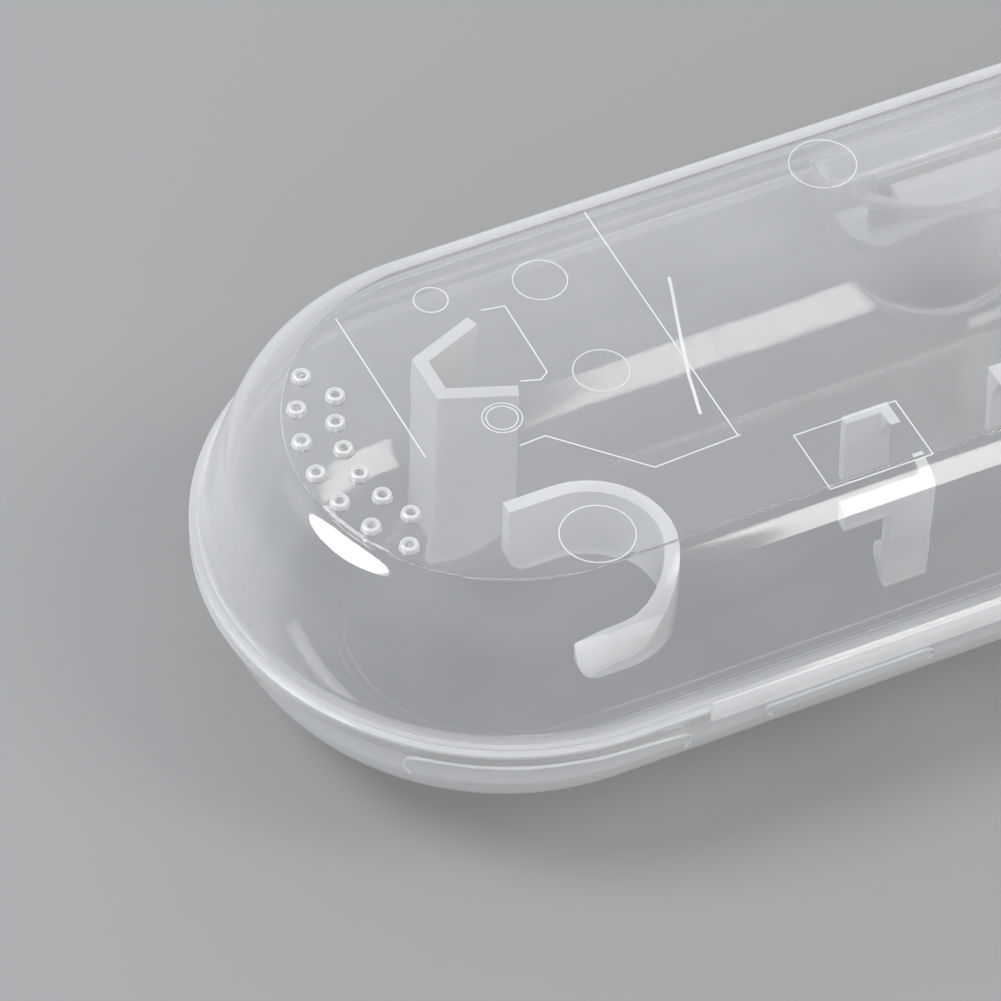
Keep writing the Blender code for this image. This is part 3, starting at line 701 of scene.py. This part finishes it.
def band(material, value, start, end, amount):
    """Rises from nothing at start to amount at end."""
    node = material.node_tree.nodes.new("ShaderNodeMapRange")
    limits = {"From Min": start, "From Max": end, "To Min": 0, "To Max": amount}
    for limit, number in limits.items():
        node.inputs[limit].default_value = number
    material.node_tree.links.new(value, node.inputs["Value"])
    return node.outputs["Result"]


def noise(material, vector, scale, detail):
    """A cloudy pattern of a given fineness, read at a place."""
    node = material.node_tree.nodes.new("ShaderNodeTexNoise")
    node.inputs["Scale"].default_value = scale
    node.inputs["Detail"].default_value = detail
    material.node_tree.links.new(vector, node.inputs["Vector"])
    return node.outputs["Fac"]


# %% [markdown]
# The case is natural polypropylene: clear in a thin wall, but milky, because its crystals
# scatter light, and so whiter where one looks along a wall. The Principled shader gives both:
# most of the light passes as through glass, and the rest meets a pale, cool white. Heights and
# patterns are taken in the piece's own coordinates, so they stay with it when it moves.

# %% Milky haze
FACING_POWER = 2.5
RIM_FADE = 0.1
COLLAR_BASE_Z = TOP_Z + 0.0001
COLLAR_LIP_Z = TOP_Z + 0.0003


def add_haze(material, axes, cloud, haze, edge_haze, rim_haze, collar_haze):
    """haze is the share of light scattered face on, edge_haze what is added along a wall,
    rim_haze what is added in the thick flanges and collar_haze what is added in the vents."""
    view = material.node_tree.nodes.new("ShaderNodeLayerWeight")
    view.inputs["Blend"].default_value = 0.5
    grazing = calculate(material, "POWER", view.outputs["Facing"], FACING_POWER)
    along_wall = calculate(material, "MULTIPLY", grazing, edge_haze)
    over_parting = calculate(material, "SUBTRACT", axes.outputs["Z"], PARTING_Z)
    off_parting = calculate(material, "ABSOLUTE", over_parting, 0)
    rim_outer, rim_inner = FLANGE_HEIGHT * (1 + RIM_FADE), FLANGE_HEIGHT * (1 - RIM_FADE)
    in_rim = band(material, off_parting, rim_outer, rim_inner, rim_haze)
    in_collar = band(material, axes.outputs["Z"], COLLAR_BASE_Z, COLLAR_LIP_Z, collar_haze)
    uneven = calculate(material, "MULTIPLY", calculate(material, "ADD", cloud, 0.5), haze)
    thin = calculate(material, "ADD", uneven, along_wall)
    thick = calculate(material, "ADD", in_rim, in_collar)
    scattered = calculate(material, "ADD", thin, thick)
    clear = calculate(material, "SUBTRACT", 1, scattered)
    shader = material.node_tree.nodes["Principled BSDF"]
    material.node_tree.links.new(clear, shader.inputs["Transmission Weight"])


# %% [markdown]
# The surface is glossy and a little uneven. Fine waves drawn out along the case give its
# reflections the streaks of a moulding. On the lid's long shoulder the gloss is lowered,
# because the photograph shows no streak of light there.

# %% Gloss and ripple
SMOOTHEST = 0.8
ROUGHEST = 1.25
WAVE_SCALE = 110
WAVE_ALONG = 0.22
PLAIN_SPECULAR = 0.5
SHOULDER_Z = PARTING_Z + 0.006
SHOULDER_FULL_Z = SHOULDER_Z + 0.002
SHOULDER_START_X = -END_X - 0.003
SHOULDER_FULL_X = -END_X + 0.004


def add_gloss(material, place, axes, cloud, roughness, ripple, shoulder_dull):
    """ripple is the depth of the waves, and shoulder_dull what the shoulder's gloss loses."""
    nodes, links = material.node_tree.nodes, material.node_tree.links
    shader = nodes["Principled BSDF"]
    gloss = nodes.new("ShaderNodeMapRange")
    gloss.inputs["To Min"].default_value = roughness * SMOOTHEST
    gloss.inputs["To Max"].default_value = roughness * ROUGHEST
    links.new(cloud, gloss.inputs["Value"])
    links.new(gloss.outputs["Result"], shader.inputs["Roughness"])
    if shoulder_dull:
        above = band(material, axes.outputs["Z"], SHOULDER_Z, SHOULDER_FULL_Z, shoulder_dull)
        past_end = band(material, axes.outputs["X"], SHOULDER_START_X, SHOULDER_FULL_X, 1)
        on_shoulder = calculate(material, "MULTIPLY", above, past_end)
        gloss_left = calculate(material, "SUBTRACT", PLAIN_SPECULAR, on_shoulder)
        links.new(gloss_left, shader.inputs["Specular IOR Level"])
    drawn_out = nodes.new("ShaderNodeMapping")
    drawn_out.inputs["Scale"].default_value = (WAVE_ALONG, 1, 1)
    links.new(place.outputs["Object"], drawn_out.inputs["Vector"])
    wave = noise(material, drawn_out.outputs["Vector"], WAVE_SCALE, 2)
    bump = nodes.new("ShaderNodeBump")
    bump.inputs["Strength"].default_value = 1
    bump.inputs["Distance"].default_value = ripple
    links.new(wave, bump.inputs["Height"])
    links.new(bump.outputs["Normal"], shader.inputs["Normal"])


# %% [markdown]
# One function makes a finish of the plastic from its haze, its gloss and its ripple.

# %% Polypropylene
REFRACTION = 1.49
CLOUD_SCALE = 55


def polypropylene(name, colour, haze, edge_haze, roughness, ripple, rim_haze=0, collar_haze=0,
                  shoulder_dull=0):
    material = bpy.data.materials.new(name)
    material.use_nodes = True
    nodes, links = material.node_tree.nodes, material.node_tree.links
    shader = nodes["Principled BSDF"]
    shader.inputs["IOR"].default_value = REFRACTION
    shader.inputs["Base Color"].default_value = (*colour, 1)
    place = nodes.new("ShaderNodeTexCoord")
    axes = nodes.new("ShaderNodeSeparateXYZ")
    links.new(place.outputs["Object"], axes.inputs[0])
    cloud = noise(material, place.outputs["Object"], CLOUD_SCALE, 3)
    add_haze(material, axes, cloud, haze, edge_haze, rim_haze, collar_haze)
    add_gloss(material, place, axes, cloud, roughness, ripple, shoulder_dull)
    let_lamps_through(material, colour)
    return material


# %% [markdown]
# Six finishes of the one plastic. The two shells share one wall, and the lid's has the dull
# shoulder. The thick or worked parts scatter more light and look whiter.

# %% Six finishes
COOL_WHITE = (0.96, 0.965, 0.97)
MILK_WHITE = (0.97, 0.975, 0.98)
SHELL_WALL = {"colour": COOL_WHITE, "haze": 0.055, "edge_haze": 0.95, "roughness": 0.045,
              "ripple": 0.00005, "rim_haze": 0.2, "collar_haze": 0.35}
lid_wall = polypropylene("lid_polypropylene", **SHELL_WALL, shoulder_dull=0.42)
clear_wall = polypropylene("clear_polypropylene", **SHELL_WALL)
latch_wall = polypropylene("latch_polypropylene", COOL_WHITE, haze=0.38, edge_haze=0.3,
                           roughness=0.12, ripple=0.00004)
milky_wall = polypropylene("milky_polypropylene", MILK_WHITE, haze=0.72, edge_haze=0.3,
                           roughness=0.16, ripple=0.00002)
strap_film = polypropylene("hinge_polypropylene", MILK_WHITE, haze=0.5, edge_haze=0.3,
                           roughness=0.1, ripple=0.00002)
mark_film = polypropylene("mould_mark_polypropylene", COOL_WHITE, haze=0.45, edge_haze=0.4,
                          roughness=0.05, ripple=0.00001)
print("finishes:", len(bpy.data.materials))

# %% [markdown]
# Each piece gets its finish, rides on its body, and takes the place of the solids it was made
# from. The strap rides on no body, and its place is taken into its mesh.

# %% Dress the pieces
def dress(piece, material, body, slot, *nodes):
    """Gives a piece its finish and body, and hides the solids that it replaces. The slot is not used."""
    piece.data.materials.clear()
    piece.data.materials.append(material)
    if body:
        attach(piece, body)
    if nodes:
        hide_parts(*nodes)


dress(upper_tray, lid_wall, "lid", "clear_shell", "upper_shell")
dress(lower_tray, clear_wall, "base", "clear_shell", "lower_shell")
dress(mould_marks, mark_film, "lid", "clear_shell")
dress(panel_edges, mark_film, "base", "clear_shell")
for node, piece in holders.items():
    dress(piece, milky_wall, "lid", "milky_holder", node)
dress(tongue, latch_wall, "latch", "milky_holder", "latch_tongue")
dress(hinge, strap_film, None, "hinge_film", "hinge_leaf_lower", "hinge_leaf_upper")
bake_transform(hinge)
print("dressed:", len(holders) + 6, "pieces")

# %% [markdown]
# The studio is a plain pale floor and a soft even surround.

# %% Floor and surround
FLOOR_SIZE = 6
FLOOR_DROP = 0.0001
clear_selection()
bpy.ops.mesh.primitive_plane_add(size=FLOOR_SIZE, location=(0, 0, -FLOOR_DROP))
floor = bpy.context.object
floor.name = "studio_floor"
floor_paint = bpy.data.materials.new("pale_floor")
floor_paint.use_nodes = True
floor_shader = floor_paint.node_tree.nodes["Principled BSDF"]
floor_shader.inputs["Base Color"].default_value = (0.30, 0.305, 0.31, 1)
floor_shader.inputs["Roughness"].default_value = 0.6
floor.data.materials.append(floor_paint)

bpy.context.scene.view_settings.view_transform = "Standard"
world = bpy.context.scene.world or bpy.data.worlds.new("studio")
bpy.context.scene.world = world
world.use_nodes = True
surround = world.node_tree.nodes["Background"]
surround.inputs["Color"].default_value = (0.92, 0.95, 1.0, 1)
surround.inputs["Strength"].default_value = 0.5
print("floor:", FLOOR_SIZE, "m square")

# %% [markdown]
# Three soft boxes light the case. Their reflections lie on the long wall, on the half-round
# end and along the far side. A fourth box only fills the shadows: it shows in no reflection
# and through no wall. Each is given by its centre and the vectors along two of its edges.

# %% Soft boxes
def stand(thing, x, y, z, place):
    """Turns an object so that its axes lie along x, y and z, and puts it in its place."""
    rows = [(x[i], y[i], z[i], place[i]) for i in range(3)]
    thing.matrix_world = Matrix([*rows, (0, 0, 0, 1)])


def softbox(name, centre, width_edge, height_edge, watts, colour=(1, 1, 1)):
    """A flat lamp from its centre and its two edge vectors, facing down to the case."""
    across, along = Vector(width_edge), Vector(height_edge)
    facing = across.cross(along).normalized()
    if facing.dot(Vector(centre)) > 0:
        along = -along
        facing = -facing
    light = bpy.data.lights.new(name, "AREA")
    light.shape = "RECTANGLE"
    light.size = across.length
    light.size_y = along.length
    light.energy = watts
    light.color = colour
    lamp = bpy.data.objects.new(name, light)
    bpy.context.scene.collection.objects.link(lamp)
    x = across.normalized()
    z = -facing
    stand(lamp, x, z.cross(x), z, centre)
    return lamp


softbox("right_box", centre=(0.65, -0.51, 1.0), width_edge=(0.62, 0, 0),
        height_edge=(0, 0.44, 0.29), watts=6.5, colour=(1.0, 0.98, 0.95))
left_box = softbox("left_box", centre=(-0.60, 0.28, 0.85), width_edge=(0.30, 0, 0.2),
                   height_edge=(0, 0.5, 0), watts=7)
left_box.data.shape = "ELLIPSE"
softbox("far_box", centre=(0.9, 1.1, 0.9), width_edge=(0.8, -0.6, 0),
        height_edge=(0.2, 0.25, 0.5), watts=5)
front_fill = softbox("front_fill", centre=(-0.75, -1.5, 0.7), width_edge=(1.5, -0.75, 0),
                     height_edge=(0.2, 0.4, 0.9), watts=9)
front_fill.visible_glossy = False
front_fill.visible_transmission = False
print("lamps:", len(bpy.data.lights))

# %% [markdown]
# The camera stands where the photograph was taken from: a long lens, looking 47 degrees down
# and turned 27.5 degrees along the case, with the case's vented half in the frame.

# %% Camera
LENS = 268.32
SENSOR_WIDTH = 36
CAMERA_PLACE = (-0.357233, -0.536800, 0.676939)
TILT = radians(47.226)
TURN = radians(27.500)
ROLL = radians(2.165)
eye = bpy.data.cameras.new("photo_camera")
eye.lens = LENS
eye.sensor_width = SENSOR_WIDTH
eye.clip_start = 0.05
eye.clip_end = 20
camera = bpy.data.objects.new("photo_camera", eye)
bpy.context.scene.collection.objects.link(camera)
forward = Vector((sin(TURN) * cos(TILT), cos(TURN) * cos(TILT), -sin(TILT)))
level = Vector((cos(TURN), -sin(TURN), 0))
upward = level.cross(forward)
right = level * cos(ROLL) + upward * sin(ROLL)
up = upward * cos(ROLL) - level * sin(ROLL)
stand(camera, right, up, -forward, CAMERA_PLACE)
bpy.context.scene.camera = camera
print("camera at:", CAMERA_PLACE)
